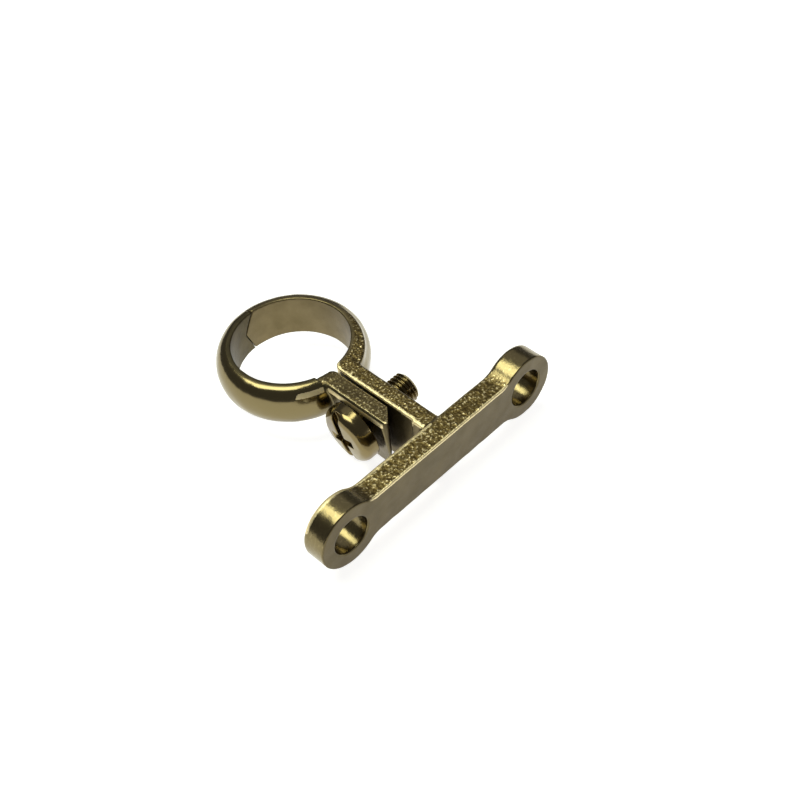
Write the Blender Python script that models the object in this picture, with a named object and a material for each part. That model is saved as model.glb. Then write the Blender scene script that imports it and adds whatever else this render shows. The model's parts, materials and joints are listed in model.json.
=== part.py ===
"""Hinged cast-brass wall bracket for a 15 mm pipe, made of four pieces.

The frame: X runs along the wall bar, Y from the wall to the pipe, and Z along the pipe. The origin is
the middle of the bar's flat wall face. The front clamp turns on the hinge pin, and the clamp screw turns
on its own axis.
"""

import math

import bmesh
import bpy
from mathutils import Matrix, Vector

METRES_PER_MM = 0.001

# The ring that holds the pipe
BORE_RADIUS = 7.5
RIM_RADIUS = 7.85
CROWN_RADIUS = 9.75
RING_HALF_WIDTH = 2.95
RING_CENTRE = Vector((0.0, 25.6, -0.15))
RING_STEP_DEGREES = 5.0
BORE_STOCK = 0.6

# The wall bar with its two screw eyes
EYE_SPACING = 29.1
EYE_RADIUS = 4.35
EYE_HOLE_RADIUS = 2.45
BAR_HALF_HEIGHT = 2.95
BAR_THICKNESS = 3.2
BAR_NECK_RADIUS = 3.0
BAR_FRONT_ROUNDING = 0.45
BAR_WALL_EDGE = 0.12

# The stem, its land beside the rear half ring, and the parting faces
STEM_LEFT = 0.35
STEM_RIGHT = 2.75
STEM_TOP = 2.75
STEM_BOTTOM = -6.1
STEM_FILLET = 0.7
LAND_CENTRE = RING_CENTRE + Vector((-1.0, -1.25, 0.0))
LAND_RADIUS = 9.1
LAND_HALF_HEIGHT = 2.75
NOSE_RADIUS = 0.8

# Where the undersides of the stem and the ear begin to rise at 45 degrees towards the ring
RISE_START = 16.0
RISE_FLOOR = -6.1

# The ear of the front clamp
EAR_OUTER = -2.5
EAR_INNER = 0.05
EAR_END = 6.9
EAR_SLANT_END = 8.8
EAR_CORNER = -1.8
EAR_TOP = 2.45
EAR_BOTTOM = -5.4
EAR_CHAMFER = 0.5
EAR_DRAFT = 0.114

# The clamp screw, a pan-head M4 whose thread is a plain cylinder of the pitch diameter
SCREW_MIDDLE = Vector((1.5, 11.3, -0.53))
SCREW_AXIS = Vector((1.0, -0.06, 0.13)).normalized()
SHANK_RADIUS = 1.77
SHANK_END = 4.45
SHANK_CHAMFER = 0.4
HEAD_UNDERSIDE = -4.15
HEAD_THICKNESS = 2.4
HEAD_RADIUS = 3.9
HEAD_ROUNDING = 1.0
HEAD_DOME = 0.15
SLOT_WIDTH = 1.2
SLOT_DEPTH = 1.0
SLOT_TURN = math.radians(14.5)
CROSS_LENGTH = 3.8
CLEARANCE = 0.3

# The hinge: a V-shaped tongue on the bracket between two cheeks of the front clamp
HINGE_ANGLE = math.radians(97.0)
HINGE_RADIUS = 8.85
KNUCKLE_RADIUS = 0.9
KNUCKLE_TOP = 1.1
KNUCKLE_BOTTOM = -1.4
CHEEK_ABOVE = 1.7
CHEEK_BELOW = -1.7
TONGUE_TIP = 0.5
TONGUE_TOP_START = -1.1
TONGUE_BOTTOM_START = -0.5
NOTCH_GAP = 0.3
PIN_RADIUS = 0.4
PIN_HALF_LENGTH = 2.0
PIN_CLEARANCE = 0.2

# How far the shank strays in the stem's hole as the clamp swings open, which the hole leaves room for
SWING = Vector((0.0, -1.17, 0.68))

REACH = 60.0
RADIAL = Vector((math.cos(HINGE_ANGLE), math.sin(HINGE_ANGLE), 0.0))
TANGENT = Vector((-math.sin(HINGE_ANGLE), math.cos(HINGE_ANGLE), 0.0))
UP = Vector((0.0, 0.0, 1.0))
HINGE = Vector((RING_CENTRE.x, RING_CENTRE.y, 0.0)) + RADIAL * HINGE_RADIUS
DEEP = -7.5


def clear_scene():
    for thing in list(bpy.data.objects):
        bpy.data.objects.remove(thing, do_unlink=True)


def brass(name, colour, roughness):
    material = bpy.data.materials.new(name)
    material.use_nodes = True
    shader = material.node_tree.nodes["Principled BSDF"]
    shader.inputs["Base Color"].default_value = (*colour, 1.0)
    shader.inputs["Roughness"].default_value = roughness
    shader.inputs["Metallic"].default_value = 1.0
    return material


def finish_mesh(name, mesh_data, material=None):
    """Turns a bmesh into an object with its faces pointing out."""
    bmesh.ops.recalc_face_normals(mesh_data, faces=mesh_data.faces)
    mesh = bpy.data.meshes.new(name)
    mesh_data.to_mesh(mesh)
    mesh_data.free()
    thing = bpy.data.objects.new(name, mesh)
    bpy.context.collection.objects.link(thing)
    if material:
        mesh.materials.append(material)
    else:
        thing.hide_render = True
        thing.display_type = "WIRE"
    return thing


def arc(centre_u, centre_v, radius, start, end, steps):
    """Points of an arc in a plane, with its angles in radians."""
    points = []
    for step in range(steps + 1):
        angle = start + (end - start) * step / steps
        points.append((centre_u + radius * math.cos(angle), centre_v + radius * math.sin(angle)))
    return points


def prism(name, outline, origin, u_axis, v_axis, low, high, material=None):
    """A closed outline in the u, v plane, extruded along their normal from low to high."""
    normal = u_axis.cross(v_axis)
    mesh_data = bmesh.new()
    base = []
    for u, v in outline:
        base.append(mesh_data.verts.new(origin + u_axis * u + v_axis * v + normal * low))
    face = mesh_data.faces.new(base)
    swept = bmesh.ops.extrude_face_region(mesh_data, geom=[face])
    moved = [item for item in swept["geom"] if isinstance(item, bmesh.types.BMVert)]
    bmesh.ops.translate(mesh_data, verts=moved, vec=normal * (high - low))
    return finish_mesh(name, mesh_data, material)


def turned(name, profile, origin, axis, steps, start=0.0, sweep=2 * math.pi, material=None):
    """A profile of (radius, height) points, turned about an axis; a part turn gets flat ends."""
    side = axis.orthogonal().normalized() if abs(axis.z) < 0.9 else Vector((1.0, 0.0, 0.0))
    side = Matrix.Rotation(start, 3, axis) @ side
    mesh_data = bmesh.new()
    whole = sweep >= 2 * math.pi
    rows = []
    for step in range(steps if whole else steps + 1):
        outward = Matrix.Rotation(sweep * step / steps, 3, axis) @ side
        rows.append([mesh_data.verts.new(origin + outward * r + axis * h) for r, h in profile])
    for step in range(steps):
        here, there = rows[step], rows[(step + 1) % len(rows)]
        for i in range(len(profile)):
            j = (i + 1) % len(profile)
            corners = [here[i], here[j], there[j], there[i]]
            on_axis = profile[i][0] == 0 and profile[j][0] == 0
            if not on_axis:
                mesh_data.faces.new(corners)
    if not whole:
        mesh_data.faces.new(rows[0])
        mesh_data.faces.new(rows[-1])
    bmesh.ops.remove_doubles(mesh_data, verts=mesh_data.verts, dist=1e-4)
    return finish_mesh(name, mesh_data, material)


def cylinder(name, centre, axis, radius, low, high, steps=32):
    """A plain cutter, turned by half a facet so that its corners miss those of the ring."""
    profile = [(0.0, low), (radius, low), (radius, high), (0.0, high)]
    return turned(name, profile, centre, axis, steps, math.pi / steps)


def change(target, tool, operation):
    modifier = target.modifiers.new(operation.lower() + "_" + tool.name, "BOOLEAN")
    modifier.operation = operation
    modifier.solver = "EXACT"
    modifier.object = tool


def join(target, *tools):
    for tool in tools:
        change(target, tool, "UNION")


def cut(target, *tools):
    for tool in tools:
        change(target, tool, "DIFFERENCE")


def finish_piece(thing, pivot):
    """Applies the cuts, puts the origin on the joint axis and turns millimetres into metres."""
    bpy.context.view_layer.update()
    shaped = thing.evaluated_get(bpy.context.evaluated_depsgraph_get())
    mesh = bpy.data.meshes.new_from_object(shaped)
    thing.modifiers.clear()
    thing.data = mesh
    mesh.transform(Matrix.Scale(METRES_PER_MM, 4) @ Matrix.Translation(-pivot))
    mesh.shade_smooth()
    mesh.set_sharp_from_angle(angle=math.radians(30))
    thing.location = pivot * METRES_PER_MM


X = Vector((1.0, 0.0, 0.0))
Y = Vector((0.0, 1.0, 0.0))
ZERO = Vector((0.0, 0.0, 0.0))


def ring_profile():
    """The D-shaped section: narrow rims and a bulging outside, with stock left for boring."""
    depth = CROWN_RADIUS - RIM_RADIUS
    bulge = []
    for step in range(11):
        angle = -math.pi / 2 + math.pi * step / 10
        bulge.append((RIM_RADIUS + depth * math.cos(angle), RING_HALF_WIDTH * math.sin(angle)))
    inside = BORE_RADIUS - BORE_STOCK
    return [(inside, -RING_HALF_WIDTH)] + bulge + [(inside, RING_HALF_WIDTH)]


def ring_sector(name, first, last, material=None):
    """Part of the ring between two angles in degrees, counted from +X towards +Y."""
    steps = round((last - first) / RING_STEP_DEGREES)
    return turned(name, ring_profile(), RING_CENTRE, UP, steps, math.radians(first),
                  math.radians(last - first), material)


def bar_outline():
    """The bar seen from the wall: two round eyes joined by a narrower bar with soft necks."""
    middle = EYE_SPACING / 2
    rise = BAR_HALF_HEIGHT + BAR_NECK_RADIUS
    reach = math.sqrt((EYE_RADIUS + BAR_NECK_RADIUS) ** 2 - rise**2)
    lean = math.atan2(rise, -reach)
    neck = arc(middle - reach, rise, BAR_NECK_RADIUS, -math.pi / 2, lean - math.pi, 5)
    quarter = neck + arc(middle, 0.0, EYE_RADIUS, lean, 0.0, 12)[1:]
    upper_right = quarter
    lower_right = [(u, -v) for u, v in reversed(quarter[:-1])]
    lower_left = [(-u, -v) for u, v in quarter]
    upper_left = [(-u, v) for u, v in reversed(quarter[:-1])]
    return upper_right + lower_right + lower_left + upper_left


def wall_bar(material):
    bar = prism("wall_bracket", bar_outline(), ZERO, X, UP, 0.0, -BAR_THICKNESS, material)
    mesh_data = bmesh.new()
    mesh_data.from_mesh(bar.data)
    for place, size, steps in ((BAR_THICKNESS, BAR_FRONT_ROUNDING, 3), (0.0, BAR_WALL_EDGE, 1)):
        rim = [e for e in mesh_data.edges if all(abs(v.co.y - place) < 1e-3 for v in e.verts)]
        bmesh.ops.bevel(mesh_data, geom=rim, offset=size, segments=steps, profile=0.5, affect="EDGES")
    mesh_data.to_mesh(bar.data)
    mesh_data.free()
    return bar


def stem_outline():
    """The stem seen from above, flared where it meets the bar and reaching into the ring wall."""
    foot = BAR_THICKNESS
    root = foot - 1.0
    top = RING_CENTRE.y - BORE_RADIUS + BORE_STOCK
    right = arc(STEM_RIGHT + STEM_FILLET, foot + STEM_FILLET, STEM_FILLET, -math.pi / 2, -math.pi, 5)
    left = arc(STEM_LEFT - STEM_FILLET, foot + STEM_FILLET, STEM_FILLET, 0.0, -math.pi / 2, 5)
    flare = STEM_FILLET
    ends = [(STEM_LEFT - flare, root), (STEM_RIGHT + flare, root)]
    return ends + right + [(STEM_RIGHT, top), (STEM_LEFT, top)] + left


def nose_cutter(name, face, side):
    """Rounds the corner between a parting face and the bore; side is +1 for the bracket, -1 for the clamp."""
    corner = RING_CENTRE.y - BORE_RADIUS
    centre_u = face + side * NOSE_RADIUS
    centre_v = corner - NOSE_RADIUS
    first, last = (math.pi, math.pi / 2) if side > 0 else (0.0, math.pi / 2)
    curve = arc(centre_u, centre_v, NOSE_RADIUS, first, last, 6)
    beyond = 1.0
    outline = curve + [(centre_u, corner + beyond), (face - side * beyond, corner + beyond),
                       (face - side * beyond, centre_v)]
    return prism(name, outline, ZERO, X, Y, DEEP, 4.0)


def tongue_cutter(name, tip, top_start, bottom_start, side):
    """Leaves a V-shaped end at the hinge; side is +1 to clear the clamp's half, -1 the bracket's."""
    slope_top = (tip - top_start) / RING_HALF_WIDTH
    slope_bottom = (tip - bottom_start) / RING_HALF_WIDTH
    tall = RING_HALF_WIDTH + 0.6
    far = side * 5.0
    outline = [(tip, 0.0), (tip - slope_bottom * tall, -tall), (far, -tall), (far, tall),
               (tip - slope_top * tall, tall)]
    return prism(name, outline, HINGE, TANGENT, UP, -3.0, 3.0)


def rise_cutter(name):
    """Takes away the lower corner of the stem or the ear under the ring."""
    outline = [(RISE_START - 1.0, RISE_FLOOR - 1.0), (RISE_START + 9.0, RISE_FLOOR - 1.0),
               (RISE_START + 9.0, RISE_FLOOR + 9.0)]
    return prism(name, outline, ZERO, Y, UP, -4.0, 4.0)


def swing_hole():
    """The stem's screw hole, drawn out along the path that the shank takes when the clamp opens."""
    radius = SHANK_RADIUS + CLEARANCE
    across = (SWING - SCREW_AXIS * SWING.dot(SCREW_AXIS)).normalized()
    along = across.cross(SCREW_AXIS)
    outline = arc(0.0, 0.0, radius, math.pi / 2, 3 * math.pi / 2, 16)
    outline += arc(SWING.length, 0.0, radius, -math.pi / 2, math.pi / 2, 16)
    return prism("swing_hole", outline, SCREW_MIDDLE, across, along, -6.0, 6.0)


def wall_bracket():
    """The fixed casting: bar, stem, land, rear half ring and the tongue of the hinge."""
    bar = wall_bar(brass("cast_brass", (0.36, 0.27, 0.11), 0.35))
    stem = prism("stem", stem_outline(), ZERO, X, Y, STEM_BOTTOM, STEM_TOP)
    cut(stem, rise_cutter("stem_rise"))
    first, last = math.radians(-100), math.radians(30)
    land_outline = arc(LAND_CENTRE.x, LAND_CENTRE.y, LAND_RADIUS, first, last, 26)
    land_outline.append((LAND_CENTRE.x, LAND_CENTRE.y))
    land = prism("land", land_outline, ZERO, X, Y, -LAND_HALF_HEIGHT, LAND_HALF_HEIGHT)
    half_ring = ring_sector("rear_half_ring", -95.0, 115.0)
    join(bar, stem, land, half_ring)

    bore = cylinder("pipe_bore", RING_CENTRE, UP, BORE_RADIUS, -REACH, REACH, 72)
    beyond = 12.0
    start = BAR_THICKNESS + STEM_FILLET
    parting = prism("rear_parting", [(STEM_LEFT, start), (STEM_LEFT, RING_CENTRE.y), (-beyond, RING_CENTRE.y),
                                     (-beyond, start)], ZERO, X, Y, DEEP, 4.0)
    cut(bar, bore, parting, nose_cutter("rear_nose", STEM_LEFT, 1), swing_hole())
    for side in (-1, 1):
        centre = Vector((side * EYE_SPACING / 2, 0.0, 0.0))
        cut(bar, cylinder(f"eye_hole_{side}", centre, Y, EYE_HOLE_RADIUS, -REACH, REACH))

    tongue = tongue_cutter("tongue", TONGUE_TIP, TONGUE_TOP_START, TONGUE_BOTTOM_START, 1)
    cut(tongue, cylinder("knuckle", HINGE, UP, KNUCKLE_RADIUS, KNUCKLE_BOTTOM - CLEARANCE,
                         KNUCKLE_TOP + CLEARANCE))
    cheek = KNUCKLE_RADIUS + CLEARANCE
    pin = PIN_RADIUS + PIN_CLEARANCE
    spool = [(0.0, -4.0), (cheek, -4.0), (cheek, KNUCKLE_BOTTOM), (pin, KNUCKLE_BOTTOM), (pin, KNUCKLE_TOP),
             (cheek, KNUCKLE_TOP), (cheek, 4.0), (0.0, 4.0)]
    cut(bar, tongue, turned("cheek_rooms_and_pin_hole", spool, HINGE, UP, 40, math.pi / 40))
    return bar


def ear_outline():
    """The ear seen from above, with a slanted end and a cut outer corner."""
    top = RING_CENTRE.y - BORE_RADIUS + BORE_STOCK / 2
    return [(EAR_OUTER, EAR_END + 0.6), (EAR_CORNER, EAR_END), (EAR_INNER, EAR_SLANT_END),
            (EAR_INNER, top), (EAR_OUTER, top)]


def ear():
    """The ear block with casting draft on its outer face and a chamfer along its top."""
    block = prism("ear", ear_outline(), ZERO, X, Y, EAR_BOTTOM, EAR_TOP)
    mesh_data = bmesh.new()
    mesh_data.from_mesh(block.data)
    outer = [v for v in mesh_data.verts if v.co.x < EAR_OUTER + 1e-3]
    corner = [v for v in mesh_data.verts if abs(v.co.x - EAR_CORNER) < 1e-3]
    for vert in outer:
        vert.co.x += EAR_DRAFT * (EAR_TOP - vert.co.z)
    for vert in corner:
        vert.co.x += EAR_DRAFT / 2 * (EAR_TOP - vert.co.z)
    rims = [e for e in mesh_data.edges if all(v in outer and v.co.z > 0.0 for v in e.verts)]
    bmesh.ops.bevel(mesh_data, geom=rims, offset=EAR_CHAMFER, segments=1, profile=0.5, affect="EDGES")
    mesh_data.to_mesh(block.data)
    mesh_data.free()
    cut(block, rise_cutter("ear_rise"))
    return block


def front_clamp():
    """The hinged casting: front half ring, ear and the two cheeks of the hinge."""
    material = brass("cast_brass_clamp", (0.40, 0.31, 0.13), 0.3)
    clamp = ring_sector("front_clamp", 80.0, 275.0, material)
    beyond = 12.0
    parting = prism("front_parting", [(EAR_INNER, 0.0), (beyond, 0.0), (beyond, RING_CENTRE.y),
                                      (EAR_INNER, RING_CENTRE.y)], ZERO, X, Y, DEEP, 4.0)
    notch = tongue_cutter("notch", TONGUE_TIP + NOTCH_GAP, TONGUE_BOTTOM_START + NOTCH_GAP,
                          TONGUE_BOTTOM_START + NOTCH_GAP, -1)
    cut(notch, cylinder("upper_cheek", HINGE, UP, KNUCKLE_RADIUS, CHEEK_ABOVE - CLEARANCE, 5.0),
        cylinder("lower_cheek", HINGE, UP, KNUCKLE_RADIUS, -5.0, CHEEK_BELOW + CLEARANCE))
    join(clamp, ear())
    bore = cylinder("front_bore", RING_CENTRE, UP, BORE_RADIUS, -REACH, REACH, 72)
    shank_hole = cylinder("ear_hole", SCREW_MIDDLE, SCREW_AXIS, SHANK_RADIUS + CLEARANCE, -8.0, 1.0)
    cut(clamp, bore, parting, nose_cutter("front_nose", EAR_INNER, -1), shank_hole)

    room = KNUCKLE_RADIUS + CLEARANCE
    pin = PIN_RADIUS + PIN_CLEARANCE
    drum = [(0.0, -4.0), (pin, -4.0), (pin, CHEEK_BELOW), (room, CHEEK_BELOW), (room, CHEEK_ABOVE),
            (pin, CHEEK_ABOVE), (pin, 4.0), (0.0, 4.0)]
    cut(clamp, notch, turned("knuckle_room_and_pin_hole", drum, HINGE, UP, 40, math.pi / 40))
    return clamp


def clamp_screw():
    """A pan-head screw with a slot and a cross recess."""
    top = HEAD_UNDERSIDE - HEAD_THICKNESS
    rounding = []
    for step in range(6):
        angle = math.pi / 2 * step / 5
        rounding.append((HEAD_RADIUS - HEAD_ROUNDING * (1 - math.cos(angle)),
                         top + HEAD_ROUNDING + HEAD_DOME - HEAD_ROUNDING * math.sin(angle)))
    profile = [(0.0, SHANK_END), (SHANK_RADIUS - SHANK_CHAMFER, SHANK_END),
               (SHANK_RADIUS, SHANK_END - SHANK_CHAMFER), (SHANK_RADIUS, HEAD_UNDERSIDE),
               (HEAD_RADIUS, HEAD_UNDERSIDE)] + rounding + [(0.0, top)]
    screw = turned("clamp_screw", profile, SCREW_MIDDLE, SCREW_AXIS, 40,
                   material=brass("turned_brass", (0.52, 0.42, 0.18), 0.2))
    side = SCREW_AXIS.cross(Y).normalized()
    along = Matrix.Rotation(SLOT_TURN, 3, SCREW_AXIS) @ side
    across = SCREW_AXIS.cross(along)
    half = SLOT_WIDTH / 2
    for name, length, direction, width in (("slot", 12.0, along, across),
                                           ("cross_arm", CROSS_LENGTH, across, along)):
        outline = [(-length / 2, -half), (length / 2, -half), (length / 2, half), (-length / 2, half)]
        low, high = top - 1.0, top + SLOT_DEPTH
        normal = direction.cross(width)
        if normal.dot(SCREW_AXIS) < 0:
            low, high = -high, -low
        cut(screw, prism(name, outline, SCREW_MIDDLE, direction, width, low, high))
    return screw


def hinge_pin():
    """The plain pin through the tongue and the cheeks."""
    profile = [(0.0, -PIN_HALF_LENGTH), (PIN_RADIUS, -PIN_HALF_LENGTH), (PIN_RADIUS, PIN_HALF_LENGTH),
               (0.0, PIN_HALF_LENGTH)]
    return turned("hinge_pin", profile, HINGE, UP, 16, material=brass("drawn_brass", (0.45, 0.36, 0.15), 0.25))


clear_scene()
finish_piece(wall_bracket(), ZERO)
finish_piece(front_clamp(), HINGE)
finish_piece(clamp_screw(), SCREW_MIDDLE)
finish_piece(hinge_pin(), HINGE)
for cutter in [thing for thing in bpy.data.objects if thing.hide_render]:
    bpy.data.objects.remove(cutter, do_unlink=True)
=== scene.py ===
"""Hinged cast-brass wall bracket for a 15 mm pipe.

Every piece is described by a depth function in millimetres: negative inside the metal, zero on its
surface. skin() turns such a function into an even mesh and settles its points exactly on the surface,
so that fillets, worn edges and the screw's thread are all real geometry.
"""

import json
import math

import bpy
import numpy as np
from mathutils import Matrix, Vector, noise


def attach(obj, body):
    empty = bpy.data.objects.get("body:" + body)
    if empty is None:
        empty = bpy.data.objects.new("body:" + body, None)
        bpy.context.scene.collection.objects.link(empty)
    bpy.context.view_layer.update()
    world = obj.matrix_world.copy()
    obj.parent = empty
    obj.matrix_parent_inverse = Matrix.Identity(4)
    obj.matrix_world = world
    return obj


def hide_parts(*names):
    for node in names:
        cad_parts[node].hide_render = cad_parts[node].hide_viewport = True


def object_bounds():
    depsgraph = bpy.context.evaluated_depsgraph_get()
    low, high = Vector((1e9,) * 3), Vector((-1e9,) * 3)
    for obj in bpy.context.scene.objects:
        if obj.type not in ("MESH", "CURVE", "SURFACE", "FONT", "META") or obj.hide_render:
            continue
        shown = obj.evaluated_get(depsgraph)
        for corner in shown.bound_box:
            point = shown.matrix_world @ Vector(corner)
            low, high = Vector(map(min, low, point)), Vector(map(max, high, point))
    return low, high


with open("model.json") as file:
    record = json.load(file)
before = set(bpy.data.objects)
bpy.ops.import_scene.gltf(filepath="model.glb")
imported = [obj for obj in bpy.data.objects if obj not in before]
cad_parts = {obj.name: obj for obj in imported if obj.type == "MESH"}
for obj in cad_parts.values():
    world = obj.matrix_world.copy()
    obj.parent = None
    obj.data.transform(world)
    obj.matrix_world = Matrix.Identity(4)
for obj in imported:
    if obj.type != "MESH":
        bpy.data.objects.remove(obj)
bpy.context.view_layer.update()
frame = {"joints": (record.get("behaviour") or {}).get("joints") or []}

MM = 0.001

# The ring
RING_Y = 25.6
BORE = 7.5
RIM = 7.85
CROWN = 9.75
RING_HALF = 2.95
RING_MIDDLE = -0.15

# The wall bar and its eyes
EYE_X = 14.55
EYE = 4.35
EYE_HOLE = 2.45
BAR_HALF = 2.95
BAR_THICK = 3.2
NECK = 3.0
BAR_FRONT_ROUND = 0.5
BAR_BACK_ROUND = 0.14
EYE_MOUTH_ROUND = 0.2

# The stem, the land beside the ring and the parting faces
STEM_LEFT = 0.35
STEM_RIGHT = 2.75
STEM_TOP = 2.75
STEM_BOTTOM = -6.1
STEM_ROOT = 2.3
STEM_SKIN = 0.22
MILLED_FROM = 5.0
UNDERSIDE_RISE = 16.0
LAND_X, LAND_Y, LAND = -1.0, 24.35, 9.1
EAR_INNER = 0.05
EAR_OUTER = -2.5
EAR_TOP = 2.45
EAR_BOTTOM = -5.4
EAR_DRAFT = 0.114
EAR_BEVEL = 2.0
EAR_INTO_RING = 1.0
EAR_TOP_CUT_END = 21.0
NOSE = 0.8

# The two cuts that slope the ear's end: which way each one faces, and a point it passes through
SLANT_FACES, SLANT_AT = (0.7165, -0.6976), (EAR_INNER, 8.8)
NIP_FACES, NIP_AT = (-0.651, -0.759), (-1.8, 6.9)

# The screw, an M4 pan head
SCREW_MIDDLE = np.array(frame["joints"][1]["pos_m"]) / MM
SCREW_AXIS = np.array(frame["joints"][1]["axis"])
SCREW_TALL = np.cross(SCREW_AXIS, (0.0, 1.0, 0.0)) / np.hypot(SCREW_AXIS[0], SCREW_AXIS[2])
SCREW_LEVEL = np.cross(SCREW_TALL, SCREW_AXIS)
HEAD_FOOT = -4.15
HEAD_TOP = -6.55
HEAD = 3.9
THREAD_CREST = 2.0
THREAD_ROOT = 1.7
THREAD_PITCH = 0.5
SHANK_END = 4.45
SHANK_POINT = 0.45
HEAD_DOME = 27.0
HEAD_ROUND = 1.05
SLOT_TURN = math.radians(14.5)
SLOT_HALF, SLOT_DEPTH = 0.6, 1.0
RECESS_HALF, RECESS_REACH, RECESS_SLOPE, RECESS_DEPTH = 0.55, 1.95, 0.55, 1.6
SCREW_HOLE = 2.1

# The hinge
HINGE_ANGLE = math.radians(97.0)
HINGE_X, HINGE_Y = frame["joints"][0]["pos_m"][0] / MM, frame["joints"][0]["pos_m"][1] / MM
KNUCKLE = 0.9
KNUCKLE_LOW, KNUCKLE_HIGH = -1.4, 1.1
HINGE_PLAY = 0.13
VEE = 2.8
TONGUE_END = (0.58, -1.08, -0.5)
NOTCH_END = (0.66, -0.98, -0.42)
PIN = 0.4
PIN_END = 2.0
PIN_PLAY = 0.06
PIN_END_PLAY = 0.1

# The skin: how high its lumps stand, and the size of the mesh's faces
SAND_HEIGHT = 0.045
RIPPLE_HEIGHT = 0.025
BRACKET_CELL, CLAMP_CELL, SCREW_CELL, PIN_CELL = 0.15, 0.12, 0.07, 0.06
WEAR_AND_HIGHLIGHT_BULGE = 0.12

# The brass: sand grains, tool marks and patches of tarnish, from one to the next
SAND = 0.28
TOOL_MARK = 0.12
TARNISH = 2.5


# ---- shaping by depth ----

def fillet(a, b, radius):
    """Joins two bodies with a concave fillet between them."""
    corner = np.hypot(np.maximum(radius - a, 0), np.maximum(radius - b, 0))
    return np.maximum(radius, np.minimum(a, b)) - corner


def edge(a, b, radius):
    """What two bodies have in common, with a rounded edge where they meet."""
    corner = np.hypot(np.maximum(a + radius, 0), np.maximum(b + radius, 0))
    return np.minimum(-radius, np.maximum(a, b)) + corner


def disc(u, v, radius):
    return np.hypot(u, v) - radius


def d_section(x, y, z):
    """The whole ring's outside: a flat rim and a bulging crown."""
    out = np.maximum(disc(x, y - RING_Y, RIM), 0)
    wide = CROWN - RIM
    rise = z - RING_MIDDLE
    near = np.hypot(out / wide, rise / RING_HALF)
    steep = np.hypot(out / wide**2, rise / RING_HALF**2)
    return near * (near - 1) / np.maximum(steep, 1e-3)


def bore(x, y):
    """Keeps the metal outside the pipe's bore."""
    return -disc(x, y - RING_Y, BORE)


def hinge_frame(x, y):
    """How far a point is round the ring from the hinge, and how far from its axis."""
    along = -math.sin(HINGE_ANGLE) * (x - HINGE_X) + math.cos(HINGE_ANGLE) * (y - HINGE_Y)
    return along, np.hypot(x - HINGE_X, y - HINGE_Y)


def pin_room(out, z):
    """The hole that the hinge pin sits in."""
    return np.maximum(out - PIN - PIN_PLAY, np.abs(z) - PIN_END - PIN_END_PLAY)


def cut(x, y, faces, at):
    """A flat cut through a point, which keeps the metal behind it."""
    return faces[0] * (x - at[0]) + faces[1] * (y - at[1])


def vee(along, z, tip, top, bottom):
    """Keeps the metal behind a V-shaped end, which runs back from its tip to top and bottom."""
    rise = (tip - top) / VEE
    fall = (tip - bottom) / VEE
    upper = (along - tip + rise * z) / math.hypot(1, rise)
    lower = (along - tip - fall * z) / math.hypot(1, fall)
    return edge(upper, lower, 0.08)


def bar_depth(x, y, z):
    """The wall bar: two eyes, soft necks, a rounded front and a crisp wall edge."""
    side, height = np.abs(x), np.abs(z)
    rise = BAR_HALF + NECK
    reach = math.sqrt((EYE + NECK) ** 2 - rise**2)
    neck_x = EYE_X - reach
    arc = -disc(side - neck_x, height - rise, NECK)
    beyond = ((side - neck_x) * rise + (height - rise) * reach) / (EYE + NECK)
    neck = np.maximum(np.maximum(arc, beyond), neck_x - side)
    outline = np.minimum(disc(side - EYE_X, z, EYE), neck)
    outline = np.minimum(outline, np.maximum(height - BAR_HALF, side - EYE_X))
    bar = edge(outline, y - BAR_THICK, BAR_FRONT_ROUND)
    bar = edge(bar, -y, BAR_BACK_ROUND)
    return edge(bar, -disc(side - EYE_X, z, EYE_HOLE), EYE_MOUTH_ROUND)


def under_ring(y, z):
    """The slope at which the stem's and the ear's undersides rise to meet the ring."""
    return (y - UNDERSIDE_RISE - z + STEM_BOTTOM) / math.sqrt(2)


def wall_bracket_depth(x, y, z):
    """The fixed casting: bar, stem, land, rear half ring and the hinge's tongue."""
    cast_left = STEM_LEFT - STEM_SKIN
    middle = (cast_left + STEM_RIGHT) / 2
    tall = np.maximum(z - STEM_TOP, np.maximum(STEM_BOTTOM - z, under_ring(y, z)))
    stem = edge(np.abs(x - middle) - (STEM_RIGHT - middle), tall, 0.3)
    stem = np.maximum(stem, np.maximum(STEM_ROOT - y, y - RING_Y + BORE))
    land = edge(disc(x - LAND_X, y - LAND_Y, LAND), np.abs(z) - STEM_TOP, 0.25)
    foot = 0.1 + 0.65 * soft_step(-z, -STEM_TOP, 0.9 - STEM_TOP)
    casting = fillet(fillet(bar_depth(x, y, z), stem, foot), land, 0.3)
    casting = fillet(casting, d_section(x, y, z), 0.35)

    milled = -np.maximum(x - STEM_LEFT, np.maximum(MILLED_FROM - y, y - RING_Y))
    casting = edge(casting, edge(milled, bore(x, y), NOSE), 0.14)

    along, out = hinge_frame(x, y)
    knuckle = np.maximum(out - KNUCKLE, np.maximum(z - KNUCKLE_HIGH, KNUCKLE_LOW - z))
    tongue = np.minimum(vee(along, z, *TONGUE_END), knuckle)
    casting = edge(casting, np.minimum(tongue, y - RING_Y), 0.06)
    cheek_rooms = np.maximum(out - KNUCKLE - HINGE_PLAY, np.minimum(KNUCKLE_HIGH - z, z - KNUCKLE_LOW))
    casting = np.maximum(casting, -cheek_rooms)
    casting = np.maximum(casting, -pin_room(out, z))
    return edge(casting, SCREW_HOLE - off_screw(x, y, z), 0.12)


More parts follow.
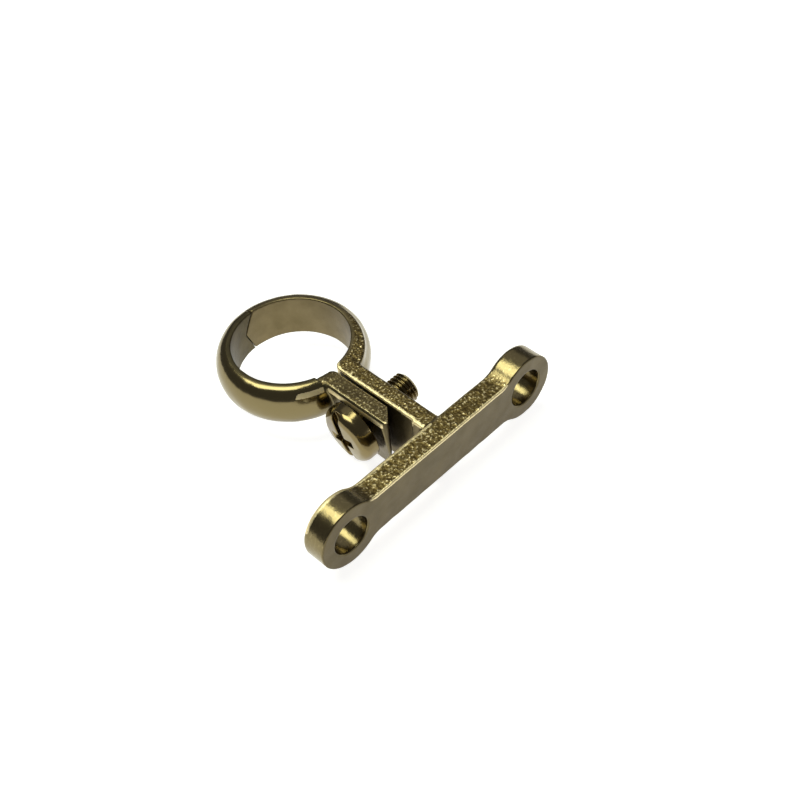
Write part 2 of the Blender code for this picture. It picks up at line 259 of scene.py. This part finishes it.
def front_clamp_depth(x, y, z):
    """The hinged casting: front half ring, ear and the hinge's cheeks."""
    along, out = hinge_frame(x, y)
    notch = -vee(along, z, *NOTCH_END)
    low, high = KNUCKLE_LOW - HINGE_PLAY, KNUCKLE_HIGH + HINGE_PLAY
    cheeks = np.maximum(out - KNUCKLE, np.minimum(high - z, z - low))
    kept = np.minimum(np.minimum(notch, cheeks), y - RING_Y)
    ring = edge(d_section(x, y, z), kept, 0.06)
    knuckle_room = np.maximum(out - KNUCKLE - HINGE_PLAY, np.maximum(z - high, low - z))
    ring = np.maximum(ring, -knuckle_room)
    ring = np.maximum(ring, -pin_room(out, z))

    outer = EAR_OUTER + EAR_DRAFT * (EAR_TOP - z) - x
    bevel = (z - x - EAR_TOP - EAR_BEVEL) / math.sqrt(2)
    slant = cut(x, y, SLANT_FACES, SLANT_AT)
    nip = cut(x, y, NIP_FACES, NIP_AT)
    ear = edge(edge(outer, bevel, 0.25), z - EAR_TOP, 0.07)
    ear = edge(ear, np.maximum(EAR_BOTTOM - z, under_ring(y, z)), 0.15)
    ear = edge(edge(ear, nip, 0.15), slant, 0.15)
    ear = np.maximum(ear, y - RING_Y + BORE - EAR_INTO_RING)
    above_ear = np.minimum(x - EAR_OUTER, EAR_TOP_CUT_END - y)
    ring = np.maximum(ring, np.minimum(z - EAR_TOP, above_ear))
    clamp = fillet(ring, ear, 0.3)

    parting = -np.maximum(EAR_INNER - x, y - RING_Y)
    clamp = edge(clamp, edge(parting, bore(x, y), NOSE), 0.08)
    return edge(clamp, SCREW_HOLE - off_screw(x, y, z), 0.1)


def screw_place(x, y, z):
    """Where a point is along the screw from its middle, and across it in two directions."""
    dx, dy, dz = x - SCREW_MIDDLE[0], y - SCREW_MIDDLE[1], z - SCREW_MIDDLE[2]
    return [dx * a[0] + dy * a[1] + dz * a[2] for a in (SCREW_AXIS, SCREW_LEVEL, SCREW_TALL)]


def off_screw(x, y, z):
    """How far a point is from the screw's axis."""
    _, level, tall = screw_place(x, y, z)
    return np.hypot(level, tall)


def screw_depth(x, y, z):
    """The screw: a rolled thread, and a domed head with a slot and a cross recess."""
    along, level, tall = screw_place(x, y, z)
    out = np.hypot(level, tall)
    turn = np.arctan2(tall, level) / (2 * math.pi)
    wave = np.abs(((along / THREAD_PITCH - turn) % 1.0) * 2 - 1)
    radius = THREAD_ROOT + (THREAD_CREST - THREAD_ROOT) * np.clip(wave * 1.35 - 0.2, 0, 1)
    shank = (out - radius) * 0.7
    shank = np.maximum(shank, (out + along - THREAD_CREST - SHANK_END + SHANK_POINT) / math.sqrt(2))
    shank = edge(shank, along - SHANK_END, 0.08)
    shank = np.maximum(shank, HEAD_FOOT - 0.5 - along)

    face = np.hypot(out, along - HEAD_TOP - HEAD_DOME) - HEAD_DOME
    head = edge(edge(out - HEAD, face, HEAD_ROUND), along - HEAD_FOOT, 0.12)
    cos_turn, sin_turn = math.cos(SLOT_TURN), math.sin(SLOT_TURN)
    lengthways = tall * cos_turn + level * sin_turn
    across = level * cos_turn - tall * sin_turn
    depth = along - HEAD_TOP
    slot = np.maximum(np.abs(across) - SLOT_HALF, depth - SLOT_DEPTH)
    arms = [np.maximum(np.abs(wide) - RECESS_HALF, np.abs(far) - RECESS_REACH + RECESS_SLOPE * depth)
            for wide, far in ((lengthways, across), (across, lengthways))]
    recess = np.maximum(np.minimum(*arms), depth - RECESS_DEPTH)
    head = edge(head, -slot, 0.09)
    head = edge(head, -recess, 0.06)
    return np.minimum(shank, head)


def pin_depth(x, y, z):
    _, out = hinge_frame(x, y)
    return edge(out - PIN, np.abs(z) - PIN_END, 0.08)


# ---- meshing ----

def slope_of(depth, points):
    """The depth's gradient at each point."""
    nudge = 0.01
    steps = np.eye(3) * nudge
    return np.stack([depth(*(points + s).T) - depth(*(points - s).T) for s in steps], 1) / (2 * nudge)


def settle(points, depth, furthest):
    """Moves points straight onto the surface."""
    for _ in range(3):
        slope = slope_of(depth, points)
        steep = np.maximum((slope**2).sum(1), 0.2)
        move = depth(*points.T) / steep
        points = points - slope * np.clip(move, -furthest, furthest)[:, None]
    return points


def neighbour_mean(values, faces):
    """The mean of each point's neighbours along the faces' edges."""
    count = len(values)
    here = faces.ravel()
    total = np.zeros_like(values)
    times = np.bincount(here, minlength=count) * 2
    for shift in (1, -1):
        there = np.roll(faces, shift, axis=1).ravel()
        for part in range(values.shape[1]):
            total[:, part] += np.bincount(here, weights=values[there, part], minlength=count)
    return total / times[:, None]


def skin(name, depth, low, high, cell, finish):
    """The surface where the depth is zero, as an even mesh of four-sided faces.

    finish(points, normals) gives how cast, how polished and how rubbed each point is, from 0 to 1; the rubbed
    edges are painted bright cream, partly as wear and partly as a painted highlight.
    """
    ticks = [np.arange(start, end + cell, cell) for start, end in zip(low, high)]
    inside = depth(*np.meshgrid(*ticks, indexing="ij")) < 0
    block = [slice(0, -1), slice(1, None)]
    held = sum(inside[a, b, c].astype(np.int8) for a in block for b in block for c in block)
    mixed = (held > 0) & (held < 8)
    number = np.full(mixed.shape, -1)
    number[mixed] = np.arange(mixed.sum())
    points = np.argwhere(mixed) * cell + np.array(low) + cell / 2

    faces = []
    for axis in range(3):
        u, v = (axis + 1) % 3, (axis + 2) % 3
        step = np.diff(inside.astype(np.int8), axis=axis)
        edges = np.argwhere(step != 0)
        ring = []
        for back_u, back_v in ((0, 0), (1, 0), (1, 1), (0, 1)):
            beside = edges.copy()
            beside[:, u] -= back_u
            beside[:, v] -= back_v
            ring.append(number[tuple(beside.T)])
        quads = np.stack(ring, 1)
        entering = step[tuple(edges.T)] > 0
        quads[entering] = quads[entering][:, ::-1]
        faces.append(quads)
    faces = np.concatenate(faces)

    for _ in range(3):
        points = settle(points, depth, cell)
        points = points + 0.5 * (neighbour_mean(points, faces) - points)
    points = settle(points, depth, cell)

    normals = slope_of(depth, points)
    normals /= np.maximum(np.linalg.norm(normals, axis=1), 1e-6)[:, None]
    cast, polish, rubbed_and_highlight = finish(points, normals)
    # Convex edges, where the finish's mask allows, are marked for bright cream: partly wear, partly a painted
    # highlight.
    bulge = ((points - neighbour_mean(points, faces)) * normals).sum(1) / cell
    wear_and_highlight = np.clip(bulge / WEAR_AND_HIGHLIGHT_BULGE, 0, 1)[:, None]
    wear_and_highlight = np.clip(neighbour_mean(wear_and_highlight, faces)[:, 0] * rubbed_and_highlight, 0, 1)
    points = points + normals * (grain(points) * cast + ripple(points))[:, None]

    mesh = bpy.data.meshes.new(name)
    mesh.from_pydata((points * MM).tolist(), [], faces.tolist())
    for label, values in (("cast", cast), ("polish", polish), ("wear_and_highlight", wear_and_highlight)):
        attribute = mesh.attributes.new(label, "FLOAT", "POINT")
        attribute.data.foreach_set("value", values.astype(np.float32))
    mesh.shade_smooth()
    thing = bpy.data.objects.new(name, mesh)
    bpy.context.collection.objects.link(thing)
    return thing


def grain(points):
    """The lumps that moulding sand leaves, about half a millimetre apart."""
    lumps = [noise.noise(Vector(p) * 2.1) + 0.6 * noise.noise(Vector(p) * 4.6) for p in points]
    return np.array(lumps) * SAND_HEIGHT


def ripple(points):
    """The slight waviness that hand polishing leaves, a millimetre or two across."""
    waves = [noise.noise(Vector(p) * 0.55) + 0.4 * noise.noise(Vector(p) * 1.2) for p in points]
    return np.array(waves) * RIPPLE_HEIGHT


def soft_step(value, start, end):
    share = np.clip((value - start) / (end - start), 0, 1)
    return share * share * (3 - 2 * share)


def bracket_finish(points, normals):
    """As cast on top and below, polished round the ring and the eyes, satin on the machined faces."""
    x, y, z = points.T
    flat = soft_step(np.abs(normals[:, 2]), 0.8, 0.95)
    out = np.hypot(x, y - RING_Y)
    land = soft_step(out, BORE + 0.25, BORE + 0.6) * soft_step(-np.abs(out - 9.0), -2.2, -1.6)
    on_ring = soft_step(y, 15.5, 17.5)
    on_land = flat * on_ring * land * soft_step(x, 0.2, 0.9) * soft_step(-y, -25, -22)
    cast = flat * (1 - on_ring) + on_land
    on_eye = soft_step(np.abs(x), 10.2, 12.5) * soft_step(-y, -4.0, -3.5)
    sides = 1 - np.abs(normals[:, 1])
    cast = cast * (1 - on_eye) + 0.08 * on_eye * soft_step(sides, 0.1, 0.6)
    polish = 0.9 * on_eye * soft_step(sides, 0.1, 0.6)
    polish = np.maximum(polish, soft_step(out, RIM + 0.1, RIM + 0.5) * on_ring * (1 - cast))
    # The bar's top edges and the stem's left top edge get the bright cream: partly wear, partly a painted
    # highlight.
    along_bar = soft_step(z, 1.6, 2.2) * soft_step(-np.abs(x), -12.0, -10.0)
    along_stem = soft_step(9.0 - np.abs(y - 10.0), 0.0, 1.5)
    stem_left = soft_step(z, 1.6, 2.2) * along_stem * soft_step(-x, -1.4, -1.0)
    along_bar = along_bar * soft_step(-y, -4.0, -3.4) * (0.5 + 0.7 * soft_step(-y, -2.0, -1.0))
    rubbed_and_highlight = 0.05 + np.maximum(along_bar, 1.8 * stem_left)
    return cast, polish, rubbed_and_highlight


def clamp_finish(points, normals):
    """Polished round the half ring, faintly cast on the ear, and rubbed along the ear's outer edge, which is
    painted bright cream, partly as wear and partly as a painted highlight.
    """
    x, y, z = points.T
    out = np.hypot(x, y - RING_Y)
    on_ear = soft_step(-y, -18.3, -17.4) * soft_step(x, -3.0, -2.4)
    cast = soft_step(np.abs(normals[:, 2]), 0.85, 0.95) * on_ear
    ear_side = 0.6 * on_ear * soft_step(-normals[:, 0], 0.5, 0.9)
    polish = soft_step(out, RIM + 0.05, RIM + 0.4) * (1 - on_ear) + ear_side
    # The ear's outer top edge gets the bright cream: partly wear, partly a painted highlight.
    outer_edge = soft_step(-np.abs(z - 1.95), -0.35, -0.2) * soft_step(-x, 2.2, 2.4)
    rubbed_and_highlight = 0.05 + 8.0 * outer_edge * soft_step(-y, -18.6, -18.2) + 0.35 * on_ear * soft_step(z, 2.2, 2.4)
    return cast * 0.6, polish, rubbed_and_highlight


def turned_finish(points, normals):
    """Bright and smooth all over."""
    return np.zeros(len(points)), np.ones(len(points)), np.zeros(len(points))


# ---- materials ----

def linear(hex_colour):
    """An sRGB hex value as linear light."""
    parts = [int(hex_colour[i:i + 2], 16) / 255 for i in (1, 3, 5)]
    return [p / 12.92 if p <= 0.04045 else ((p + 0.055) / 1.055) ** 2.4 for p in parts] + [1.0]


def add(material, kind, settings=(), **links):
    """Adds a node with its settings, and links its inputs to other nodes' outputs or values."""
    node = material.node_tree.nodes.new("ShaderNode" + kind)
    for key, value in dict(settings).items():
        setattr(node, key, value)
    for key, value in links.items():
        socket = node.inputs[int(key[1:])] if key[0] == "i" and key[1:].isdigit() else node.inputs[key]
        if isinstance(value, bpy.types.NodeSocket):
            material.node_tree.links.new(value, socket)
        else:
            socket.default_value = value
    return node


def new_material(name):
    material = bpy.data.materials.new(name)
    material.use_nodes = True
    return material, material.node_tree.nodes["Principled BSDF"]


def brass(name, polished, satin, cast):
    """Yellow brass. Polish shows as sharp reflections, machining as satin, and the sand-cast skin is brown
    and pebbly, with bright cream specks on its grains (partly worn high points, partly painted glints);
    chosen edges are bright cream, partly wear and partly painted highlight."""
    material, shader = new_material(name)
    rgb, number = {"data_type": "RGBA"}, {"data_type": "FLOAT"}
    place = add(material, "TexCoord").outputs["Object"]
    how_cast = add(material, "Attribute", {"attribute_name": "cast"}).outputs["Fac"]
    how_polished = add(material, "Attribute", {"attribute_name": "polish"}).outputs["Fac"]
    how_worn_and_highlighted = add(material, "Attribute", {"attribute_name": "wear_and_highlight"}).outputs["Fac"]

    grains = add(material, "TexNoise", Vector=place, Scale=1 / (SAND * MM), Detail=4.0).outputs[0]
    marks = add(material, "TexNoise", Vector=place, Scale=1 / (TOOL_MARK * MM), Detail=2.0).outputs[0]
    tarnish = add(material, "TexNoise", Vector=place, Scale=1 / (TARNISH * MM), Detail=8.0).outputs[0]

    # Bright cream shows along chosen edges in an uneven line, and as specks on the tops of the sand grains:
    # partly worn metal, partly painted highlights and glints
    patchy = add(material, "MapRange", i0=tarnish, i1=0.35, i2=0.65, i3=0.0, i4=1.0).outputs[0]
    pebbly = add(material, "MapRange", i0=grains, i1=0.40, i2=0.60, i3=0.0, i4=1.0).outputs[0]
    # Specks of bright cream on the grain tops: partly worn high points, partly painted glints.
    specks_and_glints = add(material, "MapRange", i0=grains, i1=0.58, i2=0.66, i3=0.0, i4=0.9).outputs[0]
    specks_and_glints = add(material, "Math", {"operation": "MULTIPLY"}, i0=specks_and_glints, i1=how_cast).outputs[0]
    uneven = add(material, "MapRange", i0=marks, i1=0.3, i2=0.6, i3=0.8, i4=2.4).outputs[0]
    rubbed_and_highlight = add(material, "Math", {"operation": "MULTIPLY"}, i0=how_worn_and_highlighted, i1=uneven).outputs[0]
    rubbed_and_highlight = add(material, "MapRange", i0=rubbed_and_highlight, i1=0.3, i2=0.7, i3=0.0, i4=1.0).outputs[0]
    bright = add(material, "Math", {"operation": "MAXIMUM"}, i0=rubbed_and_highlight, i1=specks_and_glints).outputs[0]

    satin_tone = add(material, "Mix", rgb, Factor=patchy, i6=linear(satin[0]), i7=linear(satin[1])).outputs[2]
    cast_tone = add(material, "Mix", rgb, Factor=pebbly, i6=linear(cast[0]), i7=linear(cast[1])).outputs[2]
    # The face that lies against the wall, within 0.3 mm of Y = 0, is mixed towards dark #2e281c
    behind = add(material, "SeparateXYZ", Vector=place).outputs["Y"]
    behind = add(material, "MapRange", i0=behind, i1=0.05 * MM, i2=0.3 * MM, i3=0.42, i4=0.0).outputs[0]
    satin_tone = add(material, "Mix", rgb, Factor=behind, i6=satin_tone, i7=linear("#2e281c")).outputs[2]
    colour = add(material, "Mix", rgb, Factor=how_polished, i6=satin_tone, i7=linear(polished)).outputs[2]
    colour = add(material, "Mix", rgb, Factor=how_cast, i6=colour, i7=cast_tone).outputs[2]
    # Bright cream on edges and grain tops: partly worn metal, partly painted highlights and glints.
    colour = add(material, "Mix", rgb, Factor=bright, i6=colour, i7=linear("#f3e2b4")).outputs[2]
    material.node_tree.links.new(colour, shader.inputs["Base Color"])

    rough = add(material, "MapRange", i0=marks, i1=0.3, i2=0.7, i3=0.34, i4=0.44).outputs[0]
    rough = add(material, "Mix", number, Factor=how_polished, i2=rough, i3=0.17).outputs[0]
    rough = add(material, "Mix", number, Factor=how_cast, i2=rough, i3=0.4).outputs[0]
    rough = add(material, "Mix", number, Factor=rubbed_and_highlight, i2=rough, i3=0.5).outputs[0]
    material.node_tree.links.new(rough, shader.inputs["Roughness"])
    shader.inputs["Metallic"].default_value = 1.0

    pebbles = add(material, "MapRange", i0=how_cast, i1=0.0, i2=1.0, i3=0.03, i4=0.8).outputs[0]
    scratches = add(material, "MapRange", i0=how_polished, i1=0.0, i2=1.0, i3=0.4, i4=0.12).outputs[0]
    fine = add(material, "Bump", Strength=pebbles, Distance=0.12 * MM, Height=grains).outputs[0]
    finest = add(material, "Bump", Strength=scratches, Distance=0.03 * MM, Height=marks, Normal=fine)
    material.node_tree.links.new(finest.outputs[0], shader.inputs["Normal"])
    return material


def give(thing, material, body, node):
    thing.data.materials.clear()
    thing.data.materials.append(material)
    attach(thing, body)
    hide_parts(node)


# ---- camera, light and floor ----

def add_camera():
    """The camera, at the viewing angle, leaning a little to its side."""
    azimuth, elevation, roll = math.radians(-41.73), math.radians(46.90), math.radians(-5.47)
    back = Vector((math.sin(azimuth) * math.cos(elevation), -math.cos(azimuth) * math.cos(elevation),
                   math.sin(elevation)))
    level = Vector((math.cos(azimuth), math.sin(azimuth), 0.0))
    right = (Matrix.Rotation(roll, 3, back) @ level).normalized()
    up = back.cross(right)
    camera = bpy.data.objects.new("camera", bpy.data.cameras.new("camera"))
    camera.data.lens = 51.75
    camera.data.sensor_width = 36.0
    camera.data.clip_start = 0.01
    to_the_right, upwards, distance = 3.646, 0.914, 137.42
    aim = Vector((0.0, 12.0, 0.0)) + right * to_the_right + up * upwards
    turn = Matrix((right, up, back)).transposed().to_4x4()
    camera.matrix_world = Matrix.Translation((aim + back * distance) * MM) @ turn
    bpy.context.collection.objects.link(camera)
    bpy.context.scene.camera = camera


def add_softbox(name, direction, distance, width, height, radiance, colour="#ffffff"):
    """A flat lamp that faces the object, given by how bright it looks."""
    direction = Vector(direction).normalized()
    lamp = bpy.data.lights.new(name, "AREA")
    lamp.shape = "RECTANGLE"
    lamp.size = width
    lamp.size_y = height
    lamp.energy = radiance * math.pi * width * height
    lamp.color = linear(colour)[:3]
    thing = bpy.data.objects.new(name, lamp)
    thing.location = Vector((0.0, 0.015, 0.0)) + direction * distance
    thing.rotation_euler = direction.to_track_quat("Z", "Y").to_euler()
    bpy.context.collection.objects.link(thing)


def add_floor():
    """A pale, faintly glowing table under the bracket."""
    size = 1.5
    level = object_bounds()[0][2] - 0.00015
    mesh = bpy.data.meshes.new("floor")
    mesh.from_pydata([(-size, -size, level), (size, -size, level), (size, size, level), (-size, size, level)],
                     [], [(0, 1, 2, 3)])
    floor = bpy.data.objects.new("floor", mesh)
    bpy.context.collection.objects.link(floor)
    material, shader = new_material("white_table")
    shader.inputs["Base Color"].default_value = linear("#d0d0d0")
    shader.inputs["Roughness"].default_value = 0.6
    shader.inputs["Emission Color"].default_value = linear("#ffffff")
    shader.inputs["Emission Strength"].default_value = 0.85
    mesh.materials.append(material)


def set_world(colour, strength):
    world = bpy.data.worlds.new("room")
    world.use_nodes = True
    sky = world.node_tree.nodes["Background"]
    sky.inputs["Color"].default_value = linear(colour)
    sky.inputs["Strength"].default_value = strength
    bpy.context.scene.world = world


bpy.context.scene.view_settings.view_transform = "Standard"
add_camera()
add_floor()
set_world(colour="#ffffff", strength=0.13)
add_softbox("ceiling_panel", direction=(-0.15, 0.24, 0.95), distance=0.35, width=0.2, height=0.25,
            radiance=6.2, colour="#faffe8")
add_softbox("far_window", direction=(0.455, 0.51, 0.73), distance=0.5, width=0.34, height=0.26, radiance=0.33)
add_softbox("side_lamp", direction=(0.34, -0.86, 0.37), distance=0.5, width=0.04, height=0.04, radiance=14.0)

bracket_brass = brass("sand_cast_brass", "#7c7050", ("#6c6044", "#7a6d50"), ("#594a2a", "#84734a"))
# The clamp's satin tones are darker than the bracket's: painted shade for its bore, which reflects floor
# lying in shadow.
clamp_brass_painted_shade = brass("sand_cast_brass_clamp_painted_shade", "#7c7050", ("#4c4532", "#5c533c"), ("#5c4e33", "#7e6f4c"))
screw_brass = brass("rolled_brass", "#7e704e", ("#8a7854", "#8a7854"), ("#5a4822", "#8a7854"))

bracket = skin("bracket_casting", wall_bracket_depth, (-19.2, -0.4, -6.4), (19.2, 36.0, 4.7),
               BRACKET_CELL, bracket_finish)
give(bracket, bracket_brass, "bracket", "wall_bracket")
clamp = skin("clamp_casting", front_clamp_depth, (-10.2, 6.5, -5.8), (0.6, 36.0, 3.2),
             CLAMP_CELL, clamp_finish)
give(clamp, clamp_brass_painted_shade, "clamp", "front_clamp")
screw = skin("screw", screw_depth, (-5.9, 6.8, -5.9), (6.4, 16.0, 4.0), SCREW_CELL, turned_finish)
give(screw, screw_brass, "screw", "clamp_screw")
pin = skin("pin", pin_depth, (-1.7, 33.7, -2.2), (-0.4, 35.1, 2.2), PIN_CELL, turned_finish)
give(pin, screw_brass, "bracket", "hinge_pin")
